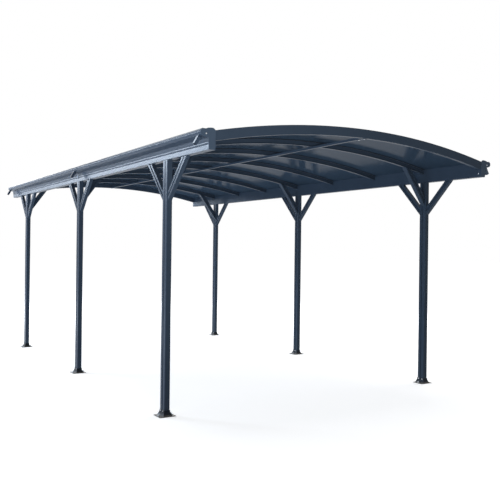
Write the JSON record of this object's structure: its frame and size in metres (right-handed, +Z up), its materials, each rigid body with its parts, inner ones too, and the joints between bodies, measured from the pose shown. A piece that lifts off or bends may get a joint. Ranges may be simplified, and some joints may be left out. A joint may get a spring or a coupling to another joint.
{
  "type": "arched-roof carport",
  "caption": "Open metal carport: slim braced posts carry eave beams with built-in gutters and a low arched roof of dark tinted panels held between bent ribs.",
  "frame": {"origin": "on the floor under the middle of the plan", "axes": "+X to the right seen from the front, +Y from the front to the back, +Z up"},
  "size_m": [3.4342, 6.408, 2.562],
  "materials": {
    "frame_coat": "satin slate-grey powder coat on aluminium profiles",
    "foot_coat": "dark satin powder coat on cast feet",
    "trim_plastic": "slate-grey moulded plastic",
    "roof_sheet": "smoke-tinted glossy sheet"
  },
  "bodies": {
    "root": {"post_front_left": "frame_coat", "post_front_right": "frame_coat", "post_middle_left": "frame_coat", "post_middle_right": "frame_coat", "post_back_left": "frame_coat", "post_back_right": "frame_coat", "foot_front_left": "foot_coat", "foot_front_right": "foot_coat", "foot_middle_left": "foot_coat", "foot_middle_right": "foot_coat", "foot_back_left": "foot_coat", "foot_back_right": "foot_coat", "braces_front_left": "frame_coat", "braces_front_right": "frame_coat", "braces_middle_left": "frame_coat", "braces_middle_right": "frame_coat", "braces_back_left": "frame_coat", "braces_back_right": "frame_coat", "eave_beam_left_front": "frame_coat", "eave_beam_left_back": "frame_coat", "eave_beam_right_front": "frame_coat", "eave_beam_right_back": "frame_coat", "end_cap_left_front": "trim_plastic", "end_cap_left_back": "trim_plastic", "end_cap_right_front": "trim_plastic", "end_cap_right_back": "trim_plastic", "gutter_outlets": "trim_plastic", "front_arch": "frame_coat", "back_arch": "frame_coat", "ridge_bar": "frame_coat", "rib_2": "frame_coat", "rib_3": "frame_coat", "rib_4": "frame_coat", "rib_5": "frame_coat", "rib_6": "frame_coat", "rib_7": "frame_coat", "rib_8": "frame_coat", "roof_panel_1": "roof_sheet", "roof_panel_2": "roof_sheet", "roof_panel_3": "roof_sheet", "roof_panel_4": "roof_sheet", "roof_panel_5": "roof_sheet", "roof_panel_6": "roof_sheet", "roof_panel_7": "roof_sheet", "roof_panel_8": "roof_sheet"}
  },
  "joints": []
}
